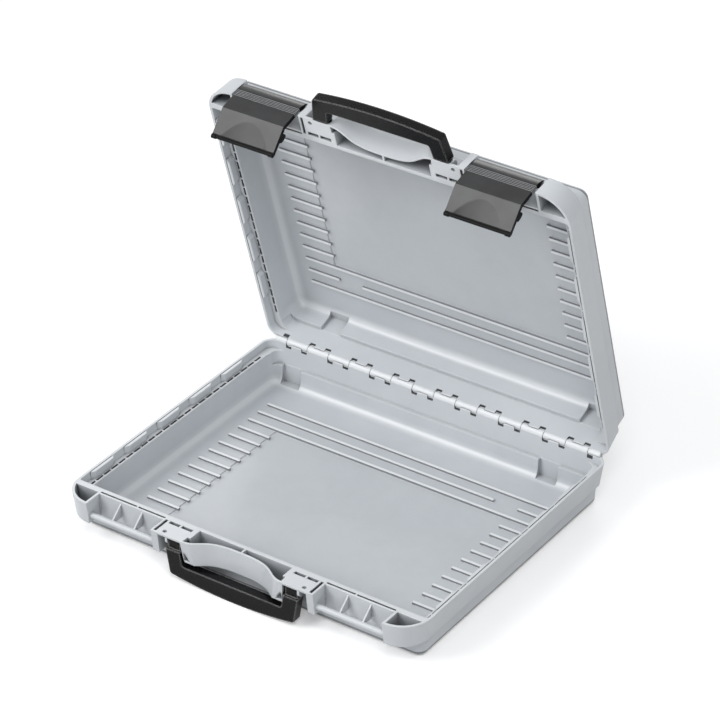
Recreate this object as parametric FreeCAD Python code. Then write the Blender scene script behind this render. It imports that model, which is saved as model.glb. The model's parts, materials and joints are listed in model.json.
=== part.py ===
import FreeCAD, Part
import math
import os

from FreeCAD import Vector

# Hard tool case: two moulded shells on one hinge pin, two over-centre latches, two half handles.
# Row frame: +X along the hinge, +Y towards the hinge, +Z up, origin under the middle of the base.
# "Inset" is the distance back from the front face, "drop" the distance below the parting plane.

# Overall sizes
case_width = 390.0
case_depth = 332.0
shell_height = 45.5
lid_open_deg = 73.0

# Walls of a shell
wall = 2.5
thin_wall = 2.0
floor_wall = 2.5
parting_gap = 0.15
overrun = 1.0
tolerance = 0.015

# Outer form: a drafted band round the parting plane, a sloping step and the narrower tub
band_height = 24.0
band_draft = 3.3
step_height = 3.4
tub_side_inset = 6.7
tub_front_inset = 25.5
tub_draft = 1.0
front_corner_radius = 30.0
back_corner_radius = 13.0
tub_corner_radius = 10.0
bottom_edge_radius = 5.0

# Inner form: side ledge with a slotted double wall, deeper back ledge, filleted floor
inner_side_inset = 11.0
inner_front_inset = 28.0
inner_draft = 1.0
inner_corner_radius = 13.0
floor_fillet = 10.0
side_ledge_drop = 8.5
back_ledge_drop = 21.5
slot_inset = 7.3
slot_width = 2.2
slot_depth = 13.5
slot_count = 24
slot_web = 1.9
slot_front_inset = 34.0
slot_back_margin = 24.0

# Support pads on the side rims
pad_count = 5
pad_length = 26.5
pad_first_inset = 47.2
pad_back_margin = 54.3
pad_width = 6.5
pad_end_slope = 4.0

# Back feet, hollow inside, that the closed case stands on
foot_width = 27.0
foot_inner_width = 22.0
foot_left_inset = 34.0
foot_right_inset = 60.5
foot_bottom = 2.5
foot_floor = 5.0

# Floor ribs
rib_count = 14
long_rib_count = 3
rib_first_inset = 72.0
rib_back_margin = 50.7
rib_width = 3.0
rib_height = 2.3
rib_overlap = 3.6
panel_step = 0.8
left_rib_insets = (34.0, 71.0)
right_rib_insets = (25.0, 57.5)
rib_gap_length = 26.5

# Front zone: latch bays, slotted blocks, handle bays and the finger recess
front_floor = 2.0
corner_block = 32.0
latch_side_gap = 2.9
bay_back_inset = 20.0
bay_back_wall = 1.8
back_slot_width = 2.0
back_slot_web = 1.6
back_slot_share = 3 / 7
pocket_back_inset = 21.5
block_slot_inner = 84.5
block_slot_outer = 87.3
block_slot_front = 2.1
block_slot_depth = 8.0
handle_bay_inner = 56.4
handle_bay_slant = 2.2
handle_bay_outer = 82.1
handle_bay_back = 15.7
plate_thickness = 2.5
pocket_depth = 14.0
plate_pocket_split = 69.5
recess_points = (
    (54.0, 0.0),
    (46.0, 1.7),
    (33.0, 10.0),
    (16.5, 14.9),
    (0.0, 15.6),
)
recess_cavity_half = 51.0
eye_window_half = 54.0
eye_window_front = 3.0
eye_window_back = 9.2
eye_window_depth = 11.0

# Latch bar, its gussets and the seal holes
bar_radius = 2.9
bar_inset = 7.0
bar_drop = 16.4
gusset_thickness = 1.4
gusset_top_drop = 1.5
bay_parts = 3
seal_hole_radius = 2.1
seal_hole_x = 77.0
seal_hole_inset = 5.5

# Hinge
hinge_offset = 1.9
hinge_end_margin = 9.5
knuckle_radius = 4.0
knuckle_count = 16
knuckle_gap = 0.4
end_knuckle_length = 13.3
pin_radius = 1.5
running_clearance = 0.05
pin_overhang = 0.9
relief_clearance = 0.4
window_length = 6.5
window_depth = 3.4
root_height = 4.0

# Latch
latch_width = 67.8
latch_plate = 2.2
latch_face_inset = -0.6
latch_crease_drop = 18.6
latch_tip_inset = 14.6
latch_tip_drop = 41.6
hood_start = 9.0
hood_radius = 4.6
hood_clearance = 0.4
hood_edge_deg = 40.0
clip_width = 8.0
clip_start_deg = 130.0
clip_wrap_deg = 210.0
hook_width = 8.0
hook_clearance = 0.35
hook_end_margin = 1.0
hook_outline = (
    (0.5, 19.0),
    (7.0, 18.6),
    (10.0, 17.4),
    (12.4, 17.4),
    (14.0, 20.5),
    (14.5, 24.7),
    (9.8, 32.0),
)
groove_count = 5
groove_pitch = 1.7
groove_width = 0.8
groove_depth = 0.5
groove_first = 6.8
thumb_depth = 1.7
thumb_left_share = 0.087
thumb_right_share = 0.9
thumb_height_share = 0.86
latch_lip_radius = 1.7
knob_radius = 2.3
knob_length = 4.5
flange_thickness = 1.4
flange_depth = 4.2
flange_top = 8.0

# Handle
handle_pivot = 6.4
handle_thickness = 11.4
handle_shoulder_half = 73.0
handle_end_half = 68.5
handle_inner_top = 57.2
handle_inner_half = 54.9
handle_end_reach = 26.9
handle_bow = 5.5
handle_inner_reach = 15.2
handle_end_radius = 3.0
handle_inner_radius = 2.5
handle_edge_radius = 2.5
handle_face_radius = 0.6
shoulder_reach = 0.8
neck_inner = 58.2
neck_outer = 71.3
neck_radius = 3.5
trunnion_radius = 2.0
trunnion_reach = 2.4
trunnion_inner = 50.5
lug_inner = 71.7
lug_outer = 74.1
lug_radius = 5.0

# Derived sizes and places
rib_pitch = (case_depth - rib_first_inset - rib_back_margin) / (rib_count - 1)
pad_pitch = (case_depth - pad_first_inset - pad_length - pad_back_margin) / (pad_count - 1)
knuckle_length = (case_width - (hinge_end_margin + end_knuckle_length) * 2) / (knuckle_count - 2)
flare_slope = math.atan2(latch_tip_inset - latch_face_inset, latch_tip_drop - latch_crease_drop)
flare_length = math.hypot(latch_tip_inset - latch_face_inset, latch_tip_drop - latch_crease_drop)
half_width = case_width / 2
bay_outer = half_width - corner_block
bay_inner = bay_outer - latch_width - latch_side_gap * 2
floor_level = floor_wall + panel_step
front_y = -case_depth / 2
back_y = case_depth / 2
hinge_y = back_y + hinge_offset
rim_z = shell_height
band_z = rim_z - band_height
step_z = band_z - step_height
up = Vector(0, 0, 1)
along_x = Vector(1, 0, 0)
along_y = Vector(0, 1, 0)
hinge_point = Vector(0, hinge_y, rim_z)


def at(x, inset, drop):
    """Point of a shell, from its distance behind the front face and below the parting plane."""
    return Vector(x, front_y + inset, rim_z - drop)


def box(x_span, y_span, z_span):
    """Box between two values on each axis."""
    corner = Vector(min(x_span), min(y_span), min(z_span))
    size = [max(span) - min(span) for span in (x_span, y_span, z_span)]
    return Part.makeBox(size[0], size[1], size[2], corner)


def zone(x_span, inset_span, drop_span):
    """Box of a shell, given by insets from the front face and drops below the parting plane."""
    y_span = [front_y + inset for inset in inset_span]
    z_span = [rim_z - drop for drop in drop_span]
    return box(x_span, y_span, z_span)


def rounded_outline(half_x, y_span, front_radius, back_radius, z):
    """Closed wire: a rectangle about the Y axis with rounded front and back corners."""
    y0, y1 = y_span
    corners = [
        (half_x, y0, front_radius, -1, 1),
        (half_x, y1, back_radius, -1, -1),
        (-half_x, y1, back_radius, 1, -1),
        (-half_x, y0, front_radius, 1, 1),
    ]
    ends = []
    for index, (x, y, radius, in_x, in_y) in enumerate(corners):
        along = Vector(x + in_x * radius, y, z)
        across = Vector(x, y + in_y * radius, z)
        center = Vector(x + in_x * radius, y + in_y * radius, z)
        middle = center + Vector(-in_x, -in_y, 0) * (radius / math.sqrt(2))
        first, last = (along, across) if index % 2 == 0 else (across, along)
        ends.append((first, middle, last))
    edges = []
    for index, (first, middle, last) in enumerate(ends):
        edges.append(Part.Arc(first, middle, last).toShape())
        edges.append(Part.LineSegment(last, ends[(index + 1) % len(ends)][0]).toShape())
    return Part.Wire(edges)


def loft(low, high):
    """Ruled solid between two outlines."""
    return Part.makeLoft([low, high], True, True)


def profile_x(points, x_span):
    """Solid with a polygon section in the YZ plane, carried along X."""
    closed = points + [points[0]]
    corners = [Vector(min(x_span), y, z) for y, z in closed]
    face = Part.Face(Part.makePolygon(corners))
    return face.extrude(along_x * (max(x_span) - min(x_span)))


def profile_y(points, y_span):
    """Solid with a polygon section in the XZ plane, carried along Y."""
    closed = points + [points[0]]
    corners = [Vector(x, min(y_span), z) for x, z in closed]
    face = Part.Face(Part.makePolygon(corners))
    return face.extrude(along_y * (max(y_span) - min(y_span)))


def rod_x(radius, x_span, y, z):
    """Cylinder along X."""
    start = Vector(min(x_span), y, z)
    return Part.makeCylinder(radius, max(x_span) - min(x_span), start, along_x)


def mirrored(shape):
    """The same shape on the other side of the case."""
    return shape.mirror(Vector(0, 0, 0), along_x)


def both_sides(shape):
    """A shape and its mirror image."""
    return [shape, mirrored(shape)]


def turned_over(shape):
    """A shell or its fitting turned half a turn about the front-to-back line at the parting plane."""
    turned = shape.copy()
    turned.rotate(Vector(0, 0, rim_z), along_y, 180)
    return turned


def opened(shape):
    """A lid piece swung from closed to the open rest position."""
    turned = shape.copy()
    turned.rotate(hinge_point, along_x, -lid_open_deg)
    return turned


def edges_at(shape, axis, value, length=0):
    """Edges that lie in one plane across an axis and are longer than a length."""
    found = []
    for edge in shape.Edges:
        low = getattr(edge.BoundBox, axis + "Min")
        high = getattr(edge.BoundBox, axis + "Max")
        if max(abs(low - value), abs(high - value)) < tolerance and edge.Length > length:
            found.append(edge)
    return found


# Outer form of a shell
def outline_at(inset, front_inset, front_radius, z):
    """Outline of a shell at one height, set in by a distance at its sides and back."""
    y_span = (front_y + front_inset, back_y - inset)
    return rounded_outline(half_width - inset, y_span, front_radius, back_corner_radius - inset, z)


def outer_form():
    """Drafted band, sloping step, tub with a rounded bottom edge, and the back feet."""
    rim = outline_at(0, 0, front_corner_radius, rim_z)
    band_low = outline_at(band_draft, band_draft, front_corner_radius - band_draft, band_z)
    step_run = tub_side_inset - band_draft
    step_high = outline_at(band_draft, tub_front_inset - step_run, tub_corner_radius + step_run, band_z)
    tub_high = outline_at(tub_side_inset, tub_front_inset, tub_corner_radius, step_z)
    low_inset = tub_side_inset + tub_draft
    tub_low = outline_at(low_inset, tub_front_inset + tub_draft, tub_corner_radius - tub_draft, 0)
    tub = loft(tub_low, tub_high)
    tub = tub.makeFillet(bottom_edge_radius, edges_at(tub, "Z", 0))
    feet = []
    for center in foot_centers():
        span = (center - foot_width / 2, center + foot_width / 2)
        feet.append(box(span, (back_y - low_inset - wall, back_y - band_draft), (foot_bottom, band_z)))
    return loft(band_low, rim).multiFuse([loft(tub_high, step_high), tub] + feet).removeSplitter()


def foot_centers():
    """Places of the back feet along X."""
    return (foot_left_inset - half_width, half_width - foot_right_inset)


# Inside of a shell
def inner_cavity():
    """Drafted cavity with rounded corners and a filleted floor."""
    top = rounded_outline(
        half_width - inner_side_inset,
        (front_y + inner_front_inset, back_y - tub_side_inset - wall),
        inner_corner_radius,
        inner_corner_radius,
        rim_z + overrun,
    )
    bottom = rounded_outline(
        half_width - inner_side_inset - inner_draft,
        (front_y + inner_front_inset + inner_draft, back_y - tub_side_inset - wall - inner_draft),
        inner_corner_radius - inner_draft,
        inner_corner_radius - inner_draft,
        floor_level,
    )
    main = loft(bottom, top)
    return main.makeFillet(floor_fillet, edges_at(main, "Z", floor_level))


def rim_cavity():
    """Widening above the side ledges and above the deeper back ledge."""
    low_draft = band_draft * side_ledge_drop / band_height
    low_inset = wall + low_draft
    high = outline_at(wall, inner_front_inset, wall, rim_z + overrun)
    low = outline_at(low_inset, inner_front_inset + low_draft, wall - low_draft, rim_z - side_ledge_drop)
    deep_draft = band_draft * back_ledge_drop / band_height
    half = half_width - inner_side_inset
    y_span = (back_y - back_corner_radius * 2, back_y - wall)
    radius = back_corner_radius - wall
    deep_high = rounded_outline(half, y_span, radius, radius, rim_z)
    low_span = (y_span[0] + deep_draft, y_span[1] - deep_draft)
    low_radius = radius - deep_draft
    deep_low = rounded_outline(half - deep_draft, low_span, low_radius, low_radius, rim_z - back_ledge_drop)
    return [loft(low, high), loft(deep_low, deep_high)]


def foot_hollows():
    hollows = []
    for center in foot_centers():
        span = (center - foot_inner_width / 2, center + foot_inner_width / 2)
        y_span = (back_y - tub_side_inset - wall - floor_fillet, back_y - band_draft - wall)
        hollows.append(box(span, y_span, (foot_floor, rim_z - back_ledge_drop + overrun)))
    return hollows


def side_slots():
    """Row of slots between the outer band and the inner wall, bridged by small webs."""
    y0 = front_y + slot_front_inset
    y1 = back_y - slot_back_margin
    pitch = (y1 - y0) / slot_count
    x_span = (half_width - slot_inset - slot_width, half_width - slot_inset)
    z_span = (rim_z - side_ledge_drop - slot_depth, rim_z - side_ledge_drop + overrun)
    slots = []
    for index in range(slot_count):
        start = y0 + index * pitch
        slots += both_sides(box(x_span, (start, start + pitch - slot_web), z_span))
    return slots


def rim_pads():
    """Low pads along the side rims where the two shells bear on each other."""
    pads = []
    for index in range(pad_count):
        start = front_y + pad_first_inset + index * pad_pitch
        end = start + pad_length
        outline = [
            (half_width - wall - overrun, start - pad_end_slope),
            (half_width - pad_width, start),
            (half_width - pad_width, end),
            (half_width - wall - overrun, end + pad_end_slope),
        ]
        low_z = rim_z - side_ledge_drop - overrun
        corners = [Vector(x, y, low_z) for x, y in outline + outline[:1]]
        pad = Part.Face(Part.makePolygon(corners)).extrude(up * (rim_z - low_z))
        pads += both_sides(pad)
    return pads


# Ribbed floor
def floor_ribs(flip):
    """Short ribs at both sides and three long ribs near the hinge, the middle one with a gap."""
    (left_out, left_in), (right_in, right_out) = rib_ends(flip)
    pieces = []
    for index in range(rib_count):
        y = front_y + rib_first_inset + index * rib_pitch
        left_end, right_end = left_in, right_in
        if index >= rib_count - long_rib_count:
            left_end = right_end = (left_in + right_in) / 2
        if index == rib_count - 2:
            left_end, right_end = right_in - rib_gap_length, right_in
        pieces += half_rib(left_out, left_end, y) + half_rib(right_out, right_end, y)
    return pieces


def rib_ends(flip):
    """Outer and inner end of the left ribs, then inner and outer end of the right ones."""
    left, right = left_rib_insets, right_rib_insets
    if flip:
        left, right = right, left
    left_ends = (left[0] - half_width, left[1] - half_width)
    return left_ends, (half_width - right[1], half_width - right[0])


def half_rib(outer, inner, y):
    """One rib with a half-round outer end and a square inner end."""
    low = floor_wall - overrun
    top = floor_level + rib_height
    radius = rib_width / 2
    center = outer + math.copysign(radius, inner - outer)
    body = box((center, inner), (y - radius, y + radius), (low, top))
    return [body, Part.makeCylinder(radius, top - low, Vector(center, y, low))]


def floor_panel(flip):
    """Shallow sunk panel in the middle of the floor, up to the first long rib."""
    (_, left_in), (right_in, _) = rib_ends(flip)
    front = front_y + inner_front_inset + inner_draft + floor_fillet
    back = back_y - rib_back_margin - rib_pitch * (long_rib_count - 1)
    return box((left_in - rib_overlap, right_in + rib_overlap), (front, back), (floor_wall, rim_z))


# Front zone cut-outs
def latch_bay():
    """One latch bay, open at the front and below, with the slots behind its back wall."""
    floor_drop = band_height + overrun
    bay = zone((bay_inner, bay_outer), (-overrun, bay_back_inset), (-overrun, floor_drop))
    slot_front = bay_back_inset + bay_back_wall
    slot_split = bay_inner + (bay_outer - bay_inner) * back_slot_share
    slot_span = (slot_front, slot_front + back_slot_width)
    slot_drops = (-overrun, band_height - front_floor)
    first = zone((bay_inner, slot_split - back_slot_web / 2), slot_span, slot_drops)
    second = zone((slot_split + back_slot_web / 2, bay_outer), slot_span, slot_drops)
    return [bay, first, second]


def corner_pocket():
    """Deep rounded pocket in a front corner."""
    inner_high = rounded_outline(
        half_width - wall,
        (front_y + wall, back_y),
        front_corner_radius - wall,
        back_corner_radius,
        rim_z + overrun,
    )
    low_inset = wall + band_draft
    inner_low = rounded_outline(
        half_width - low_inset,
        (front_y + low_inset, back_y),
        front_corner_radius - low_inset,
        back_corner_radius,
        band_z + front_floor,
    )
    region = zone(
        (bay_outer + wall, half_width),
        (0, pocket_back_inset),
        (-overrun, band_height - front_floor),
    )
    return loft(inner_low, inner_high).common(region)


def handle_bay():
    """Bay of one handle leg under its plate, the slot beside it and the pockets behind it."""
    floor_drop = band_height + overrun
    outline = [
        (handle_bay_inner, rim_z - plate_thickness),
        (handle_bay_outer, rim_z - plate_thickness),
        (handle_bay_outer, rim_z - floor_drop),
        (handle_bay_inner - handle_bay_slant, rim_z - floor_drop),
    ]
    bay = profile_y(outline, (front_y - overrun, front_y + handle_bay_back))
    block_slot = zone(
        (block_slot_inner, block_slot_outer),
        (block_slot_front, pocket_back_inset),
        (-overrun, block_slot_depth),
    )
    pocket_front = handle_bay_back + thin_wall
    pocket_drops = (-overrun, pocket_depth)
    pocket_insets = (pocket_front, pocket_back_inset)
    inner_end = plate_pocket_split - thin_wall / 2
    inner = zone((handle_bay_inner, inner_end), pocket_insets, pocket_drops)
    outer = zone((inner_end + thin_wall, handle_bay_outer), pocket_insets, pocket_drops)
    return [bay, block_slot, inner, outer]


def recess_curve(offset):
    """S-shaped edge of the finger recess as a spline, moved back by an offset along its normal."""
    right = list(recess_points)
    left = [(-x, inset) for x, inset in reversed(right[:-1])]
    points = right + left
    moved = []
    for index, (x, inset) in enumerate(points):
        before = points[max(index - 1, 0)]
        after = points[min(index + 1, len(points) - 1)]
        run, rise = before[0] - after[0], before[1] - after[1]
        length = math.hypot(run, rise)
        moved.append(Vector(x - offset * rise / length, front_y + inset + offset * run / length, 0))
    curve = Part.BSplineCurve()
    curve.interpolate(moved)
    return curve.toShape(), moved[0], moved[-1]


def closed_prism(curve, start, end, corners, z_span):
    """Upright solid whose outline is a curve and then straight runs back to its start."""
    stops = [end] + corners + [start]
    lines = [Part.LineSegment(a, b).toShape() for a, b in zip(stops, stops[1:])]
    face = Part.Face(Part.Wire([curve] + lines))
    face.translate(up * min(z_span))
    return face.extrude(up * (max(z_span) - min(z_span)))


def finger_recess():
    """Curved recess for the fingers, open through the whole band."""
    curve, start, end = recess_curve(0)
    corners = [Vector(end.x, front_y - overrun, 0), Vector(start.x, front_y - overrun, 0)]
    return closed_prism(curve, start, end, corners, (band_z - overrun, rim_z + overrun))


def recess_cavities():
    """The two hollows behind the recess wall, parted by a web, each open to a handle's eye."""
    curve, start, end = recess_curve(thin_wall)
    back = front_y + bay_back_inset + bay_back_wall + back_slot_width
    window_back = front_y + eye_window_back
    corners = []
    for side in (-1, 1):
        steps = [
            Vector(side * recess_points[0][0], window_back, 0),
            Vector(side * recess_cavity_half, window_back, 0),
            Vector(side * recess_cavity_half, back, 0),
        ]
        corners += steps if side < 0 else reversed(steps)
    z_span = (band_z + front_floor, rim_z + overrun)
    cavity = closed_prism(curve, start, end, corners, z_span)
    web_span = (-thin_wall / 2, thin_wall / 2)
    cavity = cavity.cut(box(web_span, (front_y, back), (band_z, rim_z + overrun)))
    window = zone(
        (recess_cavity_half, eye_window_half),
        (eye_window_front, eye_window_back),
        (-overrun, eye_window_depth),
    )
    return cavity.multiFuse(both_sides(window))


def latch_bar():
    """Round bar across a latch bay with two triangular gussets to the back wall."""
    y = front_y + bar_inset
    z = rim_z - bar_drop
    pieces = [rod_x(bar_radius, (bay_inner - overrun, bay_outer + overrun), y, z)]
    back = front_y + bay_back_inset + overrun
    triangle = [(y, z), (back, z), (back, rim_z - gusset_top_drop), (y, z + bar_radius)]
    for step in range(1, bay_parts):
        x = bay_inner + (bay_outer - bay_inner) * step / bay_parts
        pieces.append(profile_x(triangle, (x - gusset_thickness / 2, x + gusset_thickness / 2)))
    return pieces


def handle_lug():
    """Lug under a plate that carries the outer end of a handle's trunnion."""
    y = front_y + handle_pivot
    z = rim_z - handle_pivot
    stem = box(
        (lug_inner, lug_outer),
        (y - lug_radius, y + lug_radius),
        (z, rim_z - plate_thickness + thin_wall / 2),
    )
    return [stem, rod_x(lug_radius, (lug_inner, lug_outer), y, z)]


# Hinge knuckles
def knuckle_spans(own):
    """X spans of one shell's own knuckles, or of the other shell's between them."""
    inner = knuckle_length * (knuckle_count - 2)
    bounds = [-inner / 2 + knuckle_length * index for index in range(knuckle_count - 1)]
    bounds = [bounds[0] - end_knuckle_length] + bounds + [bounds[-1] + end_knuckle_length]
    spans = list(zip(bounds, bounds[1:]))
    return spans[0::2] if own else spans[1::2]


def hinge_knuckles():
    """One shell's own knuckles, each with a root in the back wall."""
    pieces = []
    for x0, x1 in knuckle_spans(True):
        span = (x0 + knuckle_gap / 2, x1 - knuckle_gap / 2)
        pieces.append(rod_x(knuckle_radius, span, hinge_y, rim_z))
        root = box(span, (back_y - wall, hinge_y), (rim_z - root_height, rim_z))
        pieces.append(root)
    return pieces


def hinge_reliefs():
    """Room in the back wall for the other shell's knuckles, with a window at each knuckle's ends."""
    radius = knuckle_radius + relief_clearance
    reliefs = []
    y_span = (back_y - wall - overrun, back_y + overrun)
    for x0, x1 in knuckle_spans(False):
        span = (x0 - knuckle_gap / 2, x1 + knuckle_gap / 2)
        reliefs.append(rod_x(radius, span, hinge_y, rim_z))
        if x1 - x0 < knuckle_length - tolerance:
            continue
        for start in (span[0], span[1] - window_length):
            reliefs.append(box((start, start + window_length), y_span, (rim_z - window_depth, rim_z)))
    return reliefs


def hinge_bore():
    """Running fit for the hinge pin through every knuckle."""
    return rod_x(pin_radius + running_clearance, (-half_width, half_width), hinge_y, rim_z)


# One shell, drawn as the base; the lid is the same moulding turned over
def shell(flip):
    """Body, cut-outs, ribs, bars, lugs, knuckles and bores; the lid's ribs are flipped about X."""
    body = outer_form()
    cuts = [inner_cavity(), floor_panel(flip)] + rim_cavity() + foot_hollows() + side_slots()
    cuts += both_sides(corner_pocket())
    for piece in latch_bay() + handle_bay():
        cuts += both_sides(piece)
    cuts += [finger_recess(), recess_cavities()]
    body = body.cut(Part.makeCompound(cuts))
    adds = floor_ribs(flip) + rim_pads()
    for piece in latch_bar() + handle_lug():
        adds += both_sides(piece)
    body = body.multiFuse(adds)
    body = body.cut(Part.makeCompound(hinge_reliefs()))
    body = body.multiFuse(hinge_knuckles())
    trunnion_span = (trunnion_inner - running_clearance, neck_outer + trunnion_reach + running_clearance)
    trunnion_hole = rod_x(
        trunnion_radius + running_clearance,
        trunnion_span,
        front_y + handle_pivot,
        rim_z - handle_pivot,
    )
    seal_foot = at(seal_hole_x, seal_hole_inset, plate_thickness + overrun)
    seal_hole = Part.makeCylinder(seal_hole_radius, plate_thickness + overrun * 2, seal_foot)
    bores = [hinge_bore()] + both_sides(trunnion_hole) + both_sides(seal_hole)
    return body.cut(Part.makeCompound(bores)).removeSplitter()


def trimmed_shell(flip):
    """A shell with its rim lowered by half the gap at the parting plane, the knuckles left whole."""
    body = shell(flip)
    slab = box(
        (-half_width - overrun, half_width + overrun),
        (front_y - overrun, back_y - wall),
        (rim_z - parting_gap, rim_z + overrun),
    )
    return body.cut(slab)


# Latch, drawn closed in the lid's right-hand bay, heights counted up from the parting plane
def latch_point(inset, height):
    return (front_y + inset, rim_z + height)


def flare_point(along, depth):
    """Point of the flared part, by its distance below the crease and behind the outer face."""
    inset = latch_face_inset + along * math.sin(flare_slope) + depth * math.cos(flare_slope)
    drop = latch_crease_drop + along * math.cos(flare_slope) - depth * math.sin(flare_slope)
    return latch_point(inset, -drop)


def crease_point(depth):
    """Point of the bend between the upper part and the flare, behind the outer face."""
    return latch_point(latch_face_inset + depth, depth * math.tan(flare_slope / 2) - latch_crease_drop)


def latch():
    """Bent plate and hood, cut for bar, grooves and thumb, with clips, hooks and edges."""
    center = (bay_inner + bay_outer) / 2
    span = (center - latch_width / 2, center + latch_width / 2)
    bar_y, bar_z = latch_point(bar_inset, bar_drop)
    outline = [
        latch_point(latch_face_inset, hood_start),
        crease_point(0),
        flare_point(flare_length, 0),
        flare_point(flare_length, latch_plate),
        crease_point(latch_plate),
        latch_point(latch_face_inset + latch_plate, hood_start),
    ]
    room = rod_x(bar_radius + hood_clearance, (span[0] - overrun, span[1] + overrun), bar_y, bar_z)
    cuts = [room, thumb_recess(span)] + latch_grooves(span)
    body = profile_x(outline, span).fuse(latch_hood(span, bar_y, bar_z))
    body = body.cut(Part.makeCompound(cuts))
    adds = latch_clips(bar_y, bar_z) + latch_hooks(span) + latch_edges(span)
    return body.multiFuse(adds).removeSplitter()


def latch_hood(span, bar_y, bar_z):
    """Curved top of the latch, from the plate round the front and over the bar."""
    start = latch_point(latch_face_inset, hood_start)
    edge_angle = math.radians(hood_edge_deg)
    edge = (bar_y - hood_radius * math.sin(edge_angle), bar_z + hood_radius * math.cos(edge_angle))
    shoulder = (bar_y - hood_radius - hood_clearance * 2, bar_z)
    corners = [
        edge,
        (bar_y, bar_z),
        (bar_y, bar_z - hood_radius),
        latch_point(latch_face_inset + latch_plate, hood_start - latch_plate),
        latch_point(latch_face_inset, hood_start - latch_plate),
        start,
    ]
    points = [Vector(span[0], y, z) for y, z in corners]
    arc = Part.Arc(points[-1], Vector(span[0], *shoulder), points[0]).toShape()
    lines = [Part.LineSegment(a, b).toShape() for a, b in zip(points, points[1:])]
    return Part.Face(Part.Wire([arc] + lines)).extrude(along_x * latch_width)


def ring_sector(radii, x_span, center, degrees):
    """Part of a ring about a line along X, between two angles counted from +Y towards +Z."""
    inner, outer = radii
    first, last = degrees

    def place(radius, angle):
        turn = math.radians(angle)
        y = center[0] + radius * math.cos(turn)
        return Vector(min(x_span), y, center[1] + radius * math.sin(turn))

    middle = (first + last) / 2
    edges = [
        Part.Arc(place(outer, first), place(outer, middle), place(outer, last)).toShape(),
        Part.LineSegment(place(outer, last), place(inner, last)).toShape(),
        Part.Arc(place(inner, last), place(inner, middle), place(inner, first)).toShape(),
        Part.LineSegment(place(inner, first), place(outer, first)).toShape(),
    ]
    return Part.Face(Part.Wire(edges)).extrude(along_x * (max(x_span) - min(x_span)))


def latch_clips(bar_y, bar_z):
    """Three spring clips that snap over the bar between its gussets."""
    clips = []
    part = (bay_outer - bay_inner) / bay_parts
    radii = (bar_radius + running_clearance, hood_radius)
    degrees = (clip_start_deg, clip_start_deg + clip_wrap_deg)
    for index in range(bay_parts):
        x = bay_inner + part * (index + 1 / 2)
        span = (x - clip_width / 2, x + clip_width / 2)
        clips.append(ring_sector(radii, span, (bar_y, bar_z), degrees))
    return clips


def latch_hooks(span):
    """Two hooks under the flared part that catch behind the base's bar."""
    bar_y, bar_z = latch_point(bar_inset, -bar_drop)
    seat = bar_radius + hook_clearance
    outline = [latch_point(inset, -drop) for inset, drop in hook_outline]
    hooks = []
    room_span = (span[0] - overrun, span[1] + overrun)
    for x0 in (span[0] + hook_end_margin, span[1] - hook_end_margin - hook_width):
        hook = profile_x(outline, (x0, x0 + hook_width))
        hooks.append(hook.cut(rod_x(seat, room_span, bar_y, bar_z)))
    return hooks


def latch_edges(span):
    """Rolled lip with a knob at each end along the free edge, and a flange down each side."""
    lip_y, lip_z = flare_point(flare_length, latch_plate / 2)
    pieces = [rod_x(latch_lip_radius, span, lip_y, lip_z)]
    outline = [
        latch_point(latch_face_inset + latch_plate / 2, flange_top),
        crease_point(latch_plate / 2),
        flare_point(flare_length, latch_plate / 2),
        flare_point(flare_length, flange_depth),
        crease_point(flange_depth),
        latch_point(latch_face_inset + flange_depth, flange_top - flange_depth),
    ]
    for end, inward in ((span[0], 1), (span[1], -1)):
        pieces.append(profile_x(outline, (end, end + inward * flange_thickness)))
        pieces.append(rod_x(knob_radius, (end, end + inward * knob_length), lip_y, lip_z))
    return pieces


def latch_grooves(span):
    """Fine parallel grooves across the upper plate."""
    grooves = []
    y_span = [front_y + latch_face_inset + offset for offset in (-overrun, groove_depth)]
    x_span = (span[0] - overrun, span[1] + overrun)
    for index in range(groove_count):
        z = rim_z + groove_first - index * groove_pitch
        grooves.append(box(x_span, y_span, (z - groove_width / 2, z + groove_width / 2)))
    return grooves


def thumb_recess(span):
    """Scoop for the thumb: a wide tilted cylinder, whose edge on the flare is a parabola."""
    width = span[1] - span[0]
    half = width * (thumb_right_share - thumb_left_share) / 2
    middle = span[0] + width * (thumb_left_share + thumb_right_share) / 2
    peak = flare_length * thumb_height_share
    radius = (half ** 2 + thumb_depth ** 2) / (thumb_depth * 2)
    tool = Part.makeCylinder(radius, flare_length, Vector(middle, -overrun, radius), along_y)
    tool.rotate(Vector(0, peak, 0), along_x, math.degrees(math.atan2(thumb_depth, peak)))
    tool.rotate(Vector(0, 0, 0), along_x, 90 + math.degrees(flare_slope))
    tip_y, tip_z = flare_point(flare_length, 0)
    tool.translate(Vector(0, tip_y, tip_z))
    return tool


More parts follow.
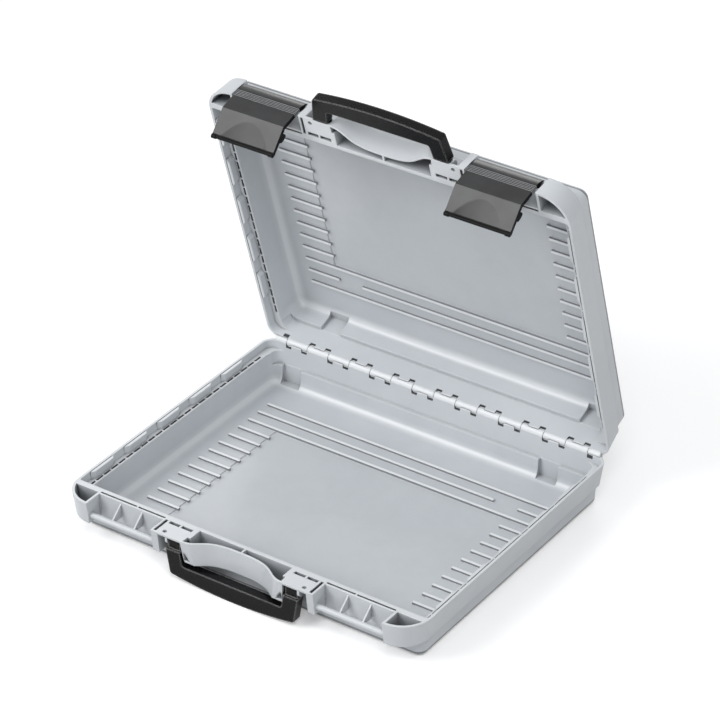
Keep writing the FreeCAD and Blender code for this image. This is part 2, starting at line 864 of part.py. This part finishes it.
# Half handle, drawn pulled out level from the base
def half_handle():
    """Bowed grip with two legs, necks at their ends and the trunnions that turn in the shell."""
    face_z = rim_z - parting_gap
    low_z = face_z - handle_thickness
    shoulder_y = front_y - shoulder_reach
    end_y = front_y - handle_end_reach
    inner_y = front_y - handle_inner_reach
    right = [
        Vector(handle_inner_half, inner_y, low_z),
        Vector(handle_inner_top, shoulder_y, low_z),
        Vector(handle_shoulder_half, shoulder_y, low_z),
        Vector(handle_end_half, end_y, low_z),
    ]
    left = [Vector(-point.x, point.y, point.z) for point in reversed(right)]
    bow = Vector(0, end_y - handle_bow, low_z)
    edges = [Part.LineSegment(a, b).toShape() for a, b in zip(right, right[1:])]
    edges.append(Part.Arc(right[-1], bow, left[0]).toShape())
    edges += [Part.LineSegment(a, b).toShape() for a, b in zip(left, left[1:])]
    edges.append(Part.LineSegment(left[-1], right[0]).toShape())
    body = Part.Face(Part.Wire(edges)).extrude(up * handle_thickness)
    body = body.makeFillet(handle_end_radius, upright_edges(body, handle_end_half, end_y))
    body = body.makeFillet(handle_inner_radius, upright_edges(body, handle_inner_half, inner_y))
    body = body.makeFillet(handle_edge_radius, edges_at(body, "Z", low_z, handle_face_radius))
    body = body.makeFillet(handle_face_radius, edges_at(body, "Z", face_z, handle_face_radius))
    pivot_y = front_y + handle_pivot
    pivot_z = rim_z - handle_pivot
    neck_span = (neck_inner, neck_outer)
    neck_y = (shoulder_y - thin_wall, pivot_y)
    neck = box(neck_span, neck_y, (pivot_z - neck_radius, pivot_z + neck_radius))
    eye = rod_x(neck_radius, neck_span, pivot_y, pivot_z)
    trunnion_span = (trunnion_inner, neck_outer + trunnion_reach)
    trunnion = rod_x(trunnion_radius, trunnion_span, pivot_y, pivot_z)
    adds = []
    for piece in (neck, eye, trunnion):
        adds += both_sides(piece)
    return body.multiFuse(adds).removeSplitter()


def upright_edges(shape, x, y):
    """The upright edges at a corner of an outline and at its mirror image."""
    found = []
    for edge in shape.Edges:
        extent = edge.BoundBox
        away = max(abs(abs(extent.Center.x) - x), abs(extent.Center.y - y))
        if extent.ZLength > handle_thickness - tolerance and away < tolerance:
            found.append(edge)
    return found


def hanging(shape):
    """A half handle swung down from level until it hangs."""
    turned = shape.copy()
    pivot = at(0, handle_pivot, handle_pivot)
    turned.rotate(pivot, along_x, 90)
    return turned


# Hinge pin
def hinge_pin():
    """Straight pin through all knuckles, a little longer than they are together."""
    reach = knuckle_length * (knuckle_count - 2) / 2 + end_knuckle_length + pin_overhang
    return rod_x(pin_radius, (-reach, reach), hinge_y, rim_z)


def build():
    """Every node in its rest position."""
    handle = half_handle()
    right_latch = latch()
    return {
        "base_shell": trimmed_shell(False),
        "lid_shell": opened(turned_over(trimmed_shell(True))),
        "hinge_pin": hinge_pin(),
        "left_latch": opened(mirrored(right_latch)),
        "right_latch": opened(right_latch),
        "base_handle": hanging(handle),
        "lid_handle": opened(turned_over(handle)),
    }


os.makedirs("parts", exist_ok=True)
for node, shape in build().items():
    shape.exportStep("parts/" + node + ".step")
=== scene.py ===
import json
import math

import bpy
from mathutils import Matrix, Vector


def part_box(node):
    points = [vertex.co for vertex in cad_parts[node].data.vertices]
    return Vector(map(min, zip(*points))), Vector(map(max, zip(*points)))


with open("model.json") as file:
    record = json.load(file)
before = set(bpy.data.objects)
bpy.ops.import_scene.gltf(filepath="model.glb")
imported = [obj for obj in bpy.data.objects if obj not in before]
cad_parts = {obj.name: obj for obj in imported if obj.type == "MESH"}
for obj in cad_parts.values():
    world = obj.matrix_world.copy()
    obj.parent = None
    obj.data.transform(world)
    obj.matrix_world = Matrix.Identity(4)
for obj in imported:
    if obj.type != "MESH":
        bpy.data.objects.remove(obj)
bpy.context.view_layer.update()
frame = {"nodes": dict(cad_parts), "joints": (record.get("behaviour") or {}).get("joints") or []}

# The viewpoint: a long lens in front of the case, a little to its right and above it,
# looking down on the open base with the lid standing behind.
azimuth, elevation = math.radians(34.31), math.radians(32.08)
shift_right, shift_up, distance = 0.02227, 0.14567, 3.2947
back = Vector((
    math.sin(azimuth) * math.cos(elevation),
    -math.cos(azimuth) * math.cos(elevation),
    math.sin(elevation),
))
right = Vector((math.cos(azimuth), math.sin(azimuth), 0.0))
above = back.cross(right)
eye = right * shift_right + above * shift_up + back * distance
camera = bpy.data.objects.new("camera", bpy.data.cameras.new("camera"))
camera.data.sensor_width = 36.0
camera.data.lens = 176.8
camera.data.clip_start = 0.05
camera.data.clip_end = 60.0
camera.matrix_world = Matrix((
    (right.x, above.x, back.x, eye.x),
    (right.y, above.y, back.y, eye.y),
    (right.z, above.z, back.z, eye.z),
    (0.0, 0.0, 0.0, 1.0),
))
bpy.context.scene.collection.objects.link(camera)
bpy.context.scene.camera = camera
bpy.context.scene.view_settings.view_transform = "Standard"


# The shells: two large injection mouldings in light cool grey plastic with a fine spark texture.
# Painted highlights make edges, rib tops, rims, floor fillets and knuckles pale, and painted shade
# darkens slots, crevices, hinge windows, places beside other parts and the flanks of ribs. The lid is
# the same moulding turned over, so on both the painted light follows their place in the moulding.
class Value:
    """A socket of a material that takes part in arithmetic: each operator adds a Math node."""

    def __init__(self, nodes, socket):
        self.nodes, self.socket = nodes, socket

    def math(self, operation, *others):
        return self.nodes.add("Math", {"operation": operation}, [self, *others])

    def __add__(self, other):
        return self.math("ADD", other)

    def __radd__(self, other):
        return self.nodes.add("Math", {"operation": "ADD"}, [other, self])

    def __sub__(self, other):
        return self.math("SUBTRACT", other)

    def __rsub__(self, other):
        return self.nodes.add("Math", {"operation": "SUBTRACT"}, [other, self])

    def __mul__(self, other):
        return self.math("MULTIPLY", other)

    def __rmul__(self, other):
        return self.nodes.add("Math", {"operation": "MULTIPLY"}, [other, self])

    def __truediv__(self, other):
        return self.math("DIVIDE", other)

    def __rtruediv__(self, other):
        return self.nodes.add("Math", {"operation": "DIVIDE"}, [other, self])

    def __pow__(self, other):
        return self.math("POWER", other)

    def __abs__(self):
        return self.math("ABSOLUTE")

    def out(self, name):
        """Another output of the same node."""
        return Value(self.nodes, self.socket.node.outputs[name])

    def rise(self, start, end):
        """0 below start, 1 above end, smooth between."""
        given = {"Value": self, "From Min": start, "From Max": end}
        return self.nodes.add("MapRange", {"interpolation_type": "SMOOTHSTEP"}, given)

    def fall(self, start, end):
        """1 below start, 0 above end, smooth between."""
        return 1.0 - self.rise(start, end)

    def within(self, low, high, soft):
        """1 between two limits, falling to 0 over a soft width outside them."""
        return self.rise(low - soft, low) * self.fall(high, high + soft)

    def most(self, other):
        return self.math("MAXIMUM", other)


class Nodes:
    """A node tree: add() makes any node from its type, its settings and its inputs."""

    def __init__(self, owner):
        owner.use_nodes = True
        self.tree = owner.node_tree
        self.tree.nodes.clear()

    def add(self, kind, settings, inputs):
        node = self.tree.nodes.new("ShaderNode" + kind)
        for key, value in settings.items():
            setattr(node, key, value)
        pairs = inputs.items() if isinstance(inputs, dict) else enumerate(inputs)
        for key, value in pairs:
            self.feed(node.inputs[key], value)
        shown = [socket for socket in node.outputs if socket.enabled]
        return Value(self, shown[0]) if shown else None

    def feed(self, socket, value):
        """Links a value to a socket, or sets the socket to a constant."""
        if isinstance(value, Value):
            self.tree.links.new(value.socket, socket)
        else:
            socket.default_value = value

    def seen(self):
        """1 for rays from the camera and for mirror and glass rays."""
        path = self.add("LightPath", {}, {})
        total = path.out("Is Camera Ray") + path.out("Is Glossy Ray") + path.out("Is Transmission Ray")
        return total.math("MINIMUM", 1.0)


class Finish(Nodes):
    """A material with one Principled shader, and the values that drive it."""

    def __init__(self, name):
        self.material = bpy.data.materials.new(name)
        super().__init__(self.material)
        self.shader = self.add("BsdfPrincipled", {}, {})
        self.add("OutputMaterial", {}, {"Surface": self.shader})

    def place(self):
        return self.add("TexCoord", {}, {}).out("Object")

    def facing(self, direction):
        """How far the surface faces in a direction of the object's own axes."""
        return self.along(self.add("TexCoord", {}, {}).out("Normal"), direction)

    def along(self, vector, direction):
        """How far a vector goes in a direction of the object's own axes."""
        return self.add("VectorMath", {"operation": "DOT_PRODUCT"}, {0: vector, 1: direction}).out("Value")

    def beyond(self, point, direction):
        """How far a place on the surface lies past a point, in a direction of the object's own axes."""
        from_point = self.add("VectorMath", {"operation": "SUBTRACT"}, {0: self.place(), 1: point})
        return self.along(from_point, direction)

    def moved(self, seed):
        """The place shifted along X, so that pieces of one material differ."""
        return self.add("Mapping", {}, {"Vector": self.place(), "Location": (seed, 0.0, 0.0)})

    def noise(self, where, scale, detail=2.0, roughness=0.5):
        given = {"Vector": where, "Scale": scale, "Detail": detail, "Roughness": roughness}
        return self.add("TexNoise", {}, given).out("Fac")

    def blend(self, factor, first, second):
        """A colour between two others."""
        node = self.add("Mix", {"data_type": "RGBA"}, {"Factor": factor, 6: first, 7: second})
        return Value(self, node.socket.node.outputs[2])

    def rounded(self, radius):
        """Normal that rolls over the edges within a radius, and how near an edge a point is."""
        soft = self.add("Bevel", {"samples": 4}, {"Radius": radius})
        flat = self.add("NewGeometry", {}, {}).out("Normal")
        return soft, self.along(soft, flat).fall(0.80, 0.99)

    def covered(self, reach, alone=True):
        """Share of the surroundings within a reach that the piece, alone or with others, covers."""
        given = {"Color": (1.0, 1.0, 1.0, 1.0), "Distance": reach}
        return 1.0 - self.add("AmbientOcclusion", {"samples": 6, "only_local": alone}, given).out("AO")

    def relief(self, height, strength, distance, normal):
        given = {"Height": height, "Strength": strength, "Distance": distance, "Normal": normal}
        return self.add("Bump", {}, given)

    def set(self, **inputs):
        for key, value in inputs.items():
            self.feed(self.shader.socket.node.inputs[key.replace("_", " ")], value)


def dress(node, finish):
    """Gives a CAD node its finish in every material slot."""
    target = frame["nodes"][node]
    target.data.materials.clear()
    target.data.materials.append(finish.material)


mm = 0.001
lid_hinge = next(joint for joint in frame["joints"] if joint["name"] == "lid_hinge")
hinge = Vector(lid_hinge["pos_m"])
opening = math.radians(-lid_hinge["range_deg"][0])

# The pale colour is a painted highlight and the near-black one is painted shade; grey and deep are the
# plastic's own mottled tone.
shell_grey = (0.555, 0.580, 0.605, 1.0)
shell_highlight = (0.840, 0.855, 0.870, 1.0)
shell_deep = (0.520, 0.545, 0.572, 1.0)
shell_shade = (0.032, 0.036, 0.042, 1.0)

# Places in the moulding where shade or highlights are painted: heights above the underside, depths
# behind the middle, and distances from the hinge line. The third figure of a zone is its soft border.
rib_flanks = (2.7 * mm, 5.2 * mm, 0.3 * mm)
rib_flank_change = (3.3 * mm, 3.6 * mm)
rib_tops = (5.3 * mm, 5.8 * mm, 0.3 * mm)
floor_fillet = (4.0 * mm, 18.0 * mm, 2.0 * mm)
fine_shade_change = (12.0 * mm, 25.0 * mm)
clear_of_floor = (19.0 * mm, 21.0 * mm)
rims = (34.0 * mm, 36.0 * mm)
window_depths = (163.0 * mm, 166.8 * mm, 0.5 * mm)
window_heights = (41.3 * mm, 44.8 * mm, 0.4 * mm)
knuckle_skin = (4.2 * mm, 4.6 * mm)

# The row of knuckles: the shells take turns, and a window is at both ends of every second span.
knuckle_row_half = 172.2 * mm
knuckle_length = 24.6 * mm
window_length = 6.5 * mm
window_margin = 0.15 * mm
window_border = 0.10 * mm


def hinge_window_shade(across, depth, height):
    """1 in the windows of the back wall, where dark shade is painted."""
    pair = 2.0 * knuckle_length
    turn = ((across + knuckle_row_half) / pair).math("FRACT") * pair
    first, last = (
        turn.within(start + window_margin, start + window_length - window_margin, window_border)
        for start in (0.0, knuckle_length - window_length)
    )
    return first.most(last) * depth.within(*window_depths) * height.within(*window_heights)


def moulded_shell(name, seed, rightward, upward, backward):
    """Cool grey moulding: mottled tone, spark texture, painted highlights on edges, painted shade in slots
    and hinge windows.
    """
    finish = Finish(name)
    where = finish.moved(seed)
    soft, edge = finish.rounded(1.1 * mm)
    across = finish.along(finish.place(), rightward)
    over_hinge = finish.beyond(hinge, upward)
    behind_hinge = finish.beyond(hinge, backward)
    height, depth = over_hinge + hinge.z, behind_hinge + hinge.y
    from_hinge = (behind_hinge ** 2.0 + over_hinge ** 2.0) ** 0.5
    facing = finish.facing(upward)

    cloud = finish.noise(where, scale=9.0, detail=3.0)
    grain = finish.noise(where, scale=1500.0)
    flow = finish.noise(where, scale=60.0, detail=4.0, roughness=0.6)
    mottle = (cloud * 0.7 + flow * 0.3).rise(0.35, 0.65)

    # Painted shade: crevices, hollows, places beside other parts, rib flanks and hinge windows are
    # darkened in the colour.
    near, wide = finish.covered(5.0 * mm, alone=False), finish.covered(30.0 * mm)
    deep_crease_shade, slight_crease_shade = near.rise(0.45, 0.95), near.rise(0.32, 0.65)
    crevice_shade = deep_crease_shade + (slight_crease_shade - deep_crease_shade) * height.rise(*fine_shade_change)
    hollow_shade = wide.rise(0.40, 0.90) * 0.65
    beside_shade = finish.covered(14.0 * mm, alone=False).rise(0.50, 0.95) * height.rise(*clear_of_floor) * 0.7
    # Painted shade on the upright flanks of the ribs.
    flank_shade = abs(facing).fall(0.3, 0.6) * height.within(*rib_flanks)
    flank_shade = flank_shade * (0.30 + 0.40 * height.rise(*rib_flank_change))
    shade = crevice_shade.most(hollow_shade).most(flank_shade).most(hinge_window_shade(across, depth, height)).most(beside_shade)

    # Painted highlights: edges, rib tops, rims, floor fillets and knuckles are made paler in the colour.
    level = facing.rise(0.85, 0.97)
    rib_top_highlight = level * height.within(*rib_tops)
    rim_highlight = level * height.rise(*rims) * 0.45
    fillet_highlight = facing.within(0.60, 0.80, 0.20) * height.within(*floor_fillet) * 0.35
    knuckle_highlight = from_hinge.fall(*knuckle_skin) * 0.7
    painted_highlight = edge.most(rib_top_highlight).most(rim_highlight).most(fillet_highlight).most(knuckle_highlight) * (1.0 - shade) * 0.9

    tone = finish.blend(shade, finish.blend(mottle, shell_deep, shell_grey), shell_shade)
    finish.set(
        Base_Color=finish.blend(painted_highlight, tone, shell_highlight),
        Roughness=0.26 + 0.08 * grain + 0.05 * cloud - edge * 0.06,
        Normal=finish.relief(grain, 0.25, 0.05 * mm, soft),
    )
    return finish


dress("base_shell", moulded_shell(
    "base_shell_moulding", seed=0.0,
    rightward=(1.0, 0.0, 0.0), upward=(0.0, 0.0, 1.0), backward=(0.0, 1.0, 0.0),
))
dress("lid_shell", moulded_shell(
    "lid_shell_moulding", seed=3.7,
    rightward=(-1.0, 0.0, 0.0),
    upward=(0.0, -math.sin(opening), -math.cos(opening)),
    backward=(0.0, math.cos(opening), -math.sin(opening)),
))


# The hinge pin: one drawn steel wire pushed through the knuckles of both shells.
# Its skin shows fine lines along its length.
steel_dark, steel_bright = (0.46, 0.46, 0.47, 1.0), (0.66, 0.66, 0.67, 1.0)
lines_along, lines_across = 20.0, 4000.0


def drawn_wire(name):
    """Steel with fine lines drawn out along X."""
    finish = Finish(name)
    stretch = (lines_along, lines_across, lines_across)
    where = finish.add("Mapping", {}, {"Vector": finish.place(), "Scale": stretch})
    streak = finish.noise(where, scale=1.0)
    plain = finish.add("NewGeometry", {}, {}).out("Normal")
    finish.set(
        Base_Color=finish.blend(streak, steel_dark, steel_bright),
        Metallic=1.0,
        Roughness=0.24 + 0.16 * streak,
        Normal=finish.relief(streak, 0.15, 0.03 * mm, plain),
    )
    return finish


dress("hinge_pin", drawn_wire("hinge_pin_steel"))


# The latches: dark grey mouldings that turn on a bar in the lid and snap over one in the base.
# The flat part is satin with five grooves painted pale as highlights, and its edges get a painted
# highlight. The lip, knobs and side flanges are painted black as shade, and the scooped place for
# the thumb is duller on its left.
# The lightest grey is a painted edge highlight, the black is painted shade on lip, knobs and flanges, and
# the pale grey is a painted highlight in the grooves.
latch_dark, latch_dusty = (0.018, 0.018, 0.019, 1.0), (0.025, 0.026, 0.027, 1.0)
latch_edge_highlight = (0.10, 0.10, 0.10, 1.0)
latch_shade_black = (0.006, 0.006, 0.0065, 1.0)
groove_highlight = (0.42, 0.43, 0.44, 1.0)
latch_width = 67.8 * mm

# Places on the open lid, in the frame's own y and z.
lip_y, lip_z = 35.6 * mm, 338.0 * mm
lip_skin = (2.4 * mm, 3.0 * mm)
last_groove = (0.0, 70.1 * mm, 365.4 * mm)
groove_pitch = 1.7 * mm
groove_zone = (-0.4 * mm, 7.2 * mm, 0.3 * mm)
groove_lowest = (360.5 * mm, 361.0 * mm)
flare_edge, flare_inward = (0.0, 34.77 * mm, 338.69 * mm), (0.0, 0.7712, -0.6366)
scoop_depths = (0.2 * mm, 1.8 * mm, 0.15 * mm)
crease_zone = (51.9 * mm, 52.3 * mm)


def latch_finish(name, seed, left_edge):
    """Dark grey satin plastic, painted black as shade on lip, knobs and flanges, painted pale as
    highlights in the fine grooves and on edges.
    """
    finish = Finish(name)
    where = finish.moved(seed)
    soft, edge = finish.rounded(0.4 * mm)
    grain = finish.noise(where, scale=1100.0)
    cloud = finish.noise(where, scale=45.0, detail=3.0)
    spot = finish.add("SeparateXYZ", {}, {0: finish.place()})
    across, y, z = spot.out("X") - left_edge, spot.out("Y"), spot.out("Z")

    from_lip = ((y - lip_y) ** 2.0 + (z - lip_z) ** 2.0) ** 0.5
    # Painted shade: the lip, which faces down, and the side flanges are made black.
    lip_flange_shade = from_lip.fall(*lip_skin).most(abs(finish.facing((1.0, 0.0, 0.0))).rise(0.6, 0.9))
    # Painted highlight: the fine grooves are made pale.
    up_plate = finish.beyond(last_groove, (0.0, math.sin(opening), math.cos(opening)))
    from_groove = abs((up_plate / groove_pitch + 0.5).math("FRACT") - 0.5)
    painted_groove_highlight = from_groove.fall(0.18, 0.26) * up_plate.within(*groove_zone) * z.rise(*groove_lowest)
    scoop = finish.beyond(flare_edge, flare_inward).within(*scoop_depths) * y.fall(*crease_zone)
    dull = scoop * (1.0 - across / latch_width)

    dark = finish.blend(cloud.rise(0.3, 0.7), latch_dark, latch_dusty)
    # Painted highlight along the edges, and painted black shade on lip and flanges.
    tone = finish.blend(lip_flange_shade, finish.blend(edge * 0.6, dark, latch_edge_highlight), latch_shade_black)
    finish.set(
        Base_Color=finish.blend(painted_groove_highlight, tone, groove_highlight),
        Roughness=0.34 + 0.10 * grain + 0.05 * cloud,
        Specular_IOR_Level=0.10,
        Coat_Weight=(1.0 - lip_flange_shade) * (1.0 - dull * 0.60) * (0.40 + 0.12 * cloud),
        Coat_Roughness=0.17,
        Normal=finish.relief(grain, 0.2, 0.04 * mm, soft),
    )
    return finish


for latch, seed in (("left_latch", 1.3), ("right_latch", 5.9)):
    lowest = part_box(latch)[0]
    dress(latch, latch_finish(latch + "_plastic", seed, lowest.x))


# The half handles: black satin mouldings with rounded palm edges, one on each shell.
# The surface has a leathery grain, and a highlight is painted pale along its edges, which also carry more
# coat.
handle_black, handle_edge_highlight = (0.004, 0.004, 0.0045, 1.0), (0.30, 0.30, 0.30, 1.0)


def handle_finish(name, seed):
    """Black plastic with a fine leathery grain and a painted highlight along its edges."""
    finish = Finish(name)
    where = finish.moved(seed)
    soft, edge = finish.rounded(2.2 * mm)
    grain = finish.noise(where, scale=900.0, detail=3.0, roughness=0.6)
    cloud = finish.noise(where, scale=30.0, detail=3.0)
    finish.set(
        # Painted highlight: the edges are made paler in the colour.
        Base_Color=finish.blend(edge * 0.8, handle_black, handle_edge_highlight),
        Roughness=0.24 + 0.12 * grain - 0.05 * cloud,
        Specular_IOR_Level=0.10,
        Coat_Weight=0.06 + edge * 0.9,
        Coat_Roughness=0.15,
        Normal=finish.relief(grain, 0.35, 0.06 * mm, soft),
    )
    return finish


for handle, seed in (("base_handle", 2.1), ("lid_handle", 7.4)):
    dress(handle, handle_finish(handle + "_plastic", seed))


# The studio: a wide white floor, an even pale surround and four large soft lamps.
# What the camera sees past the case is white; the lamps stay at a plain level.
floor_half = 14.0
shadow_end, white_start = 0.5, 1.5
white = (1.0, 1.0, 1.0, 1.0)
paper_grey, bounce_grey = (0.90, 0.90, 0.90, 1.0), (0.52, 0.52, 0.52, 1.0)
surround_pale = (0.97, 0.985, 1.0, 1.0)

floor_mesh = bpy.data.meshes.new("studio_floor")
floor_mesh.from_pydata(
    [
        (-floor_half, -floor_half, 0.0),
        (floor_half, -floor_half, 0.0),
        (floor_half, floor_half, 0.0),
        (-floor_half, floor_half, 0.0),
    ],
    [],
    [(0, 1, 2, 3)],
)
floor = bpy.data.objects.new("studio_floor", floor_mesh)
bpy.context.scene.collection.objects.link(floor)

paper = Finish("studio_paper")
paper.set(Base_Color=paper_grey, Roughness=0.9, Specular_IOR_Level=0.0)
glow = paper.add("Emission", {}, {"Color": white, "Strength": 0.24})
near_paper = paper.add("AddShader", {}, {0: paper.shader, 1: glow})
far_paper = paper.add("Emission", {}, {"Color": white, "Strength": 1.0})
from_middle = paper.add("VectorMath", {"operation": "LENGTH"}, {0: paper.place()}).out("Value")
far = from_middle.rise(shadow_end, white_start)
shown_paper = paper.add("MixShader", {}, {0: far, 1: near_paper, 2: far_paper})
bounce = paper.add("BsdfDiffuse", {}, {"Color": bounce_grey})
mixed_paper = paper.add("MixShader", {}, {0: paper.seen(), 1: bounce, 2: shown_paper})
paper.add("OutputMaterial", {"is_active_output": True}, {"Surface": mixed_paper})
floor_mesh.materials.append(paper.material)

world = bpy.data.worlds.new("studio_surround")
bpy.context.scene.world = world
surround = Nodes(world)
pale_light = surround.add("Background", {}, {"Color": surround_pale, "Strength": 0.50})
white_light = surround.add("Background", {}, {"Color": white, "Strength": 1.0})
mixed_light = surround.add("MixShader", {}, {0: surround.seen(), 1: pale_light, 2: white_light})
surround.add("OutputWorld", {}, {"Surface": mixed_light})


def soft_lamp(name, place, target, size, watts):
    """A square area lamp turned towards a point."""
    lamp = bpy.data.lights.new(name, "AREA")
    lamp.size = size
    lamp.energy = watts
    holder = bpy.data.objects.new(name, lamp)
    holder.location = place
    aim = Vector(target) - Vector(place)
    holder.rotation_euler = aim.to_track_quat("-Z", "Y").to_euler()
    bpy.context.scene.collection.objects.link(holder)


soft_lamp("key_lamp", (-1.30, -1.76, 1.75), target=(0.0, 0.0, 0.15), size=1.4, watts=38.0)
soft_lamp("top_lamp", (1.0, -1.1, 2.1), target=(0.0, 0.0, 0.1), size=1.0, watts=18.0)
soft_lamp("side_lamp", (2.0, -1.9, 0.9), target=(0.0, 0.0, 0.1), size=1.2, watts=8.0)
soft_lamp("rim_lamp", (-0.90, 2.20, 1.50), target=(0.0, 0.0, 0.20), size=1.2, watts=13.0)
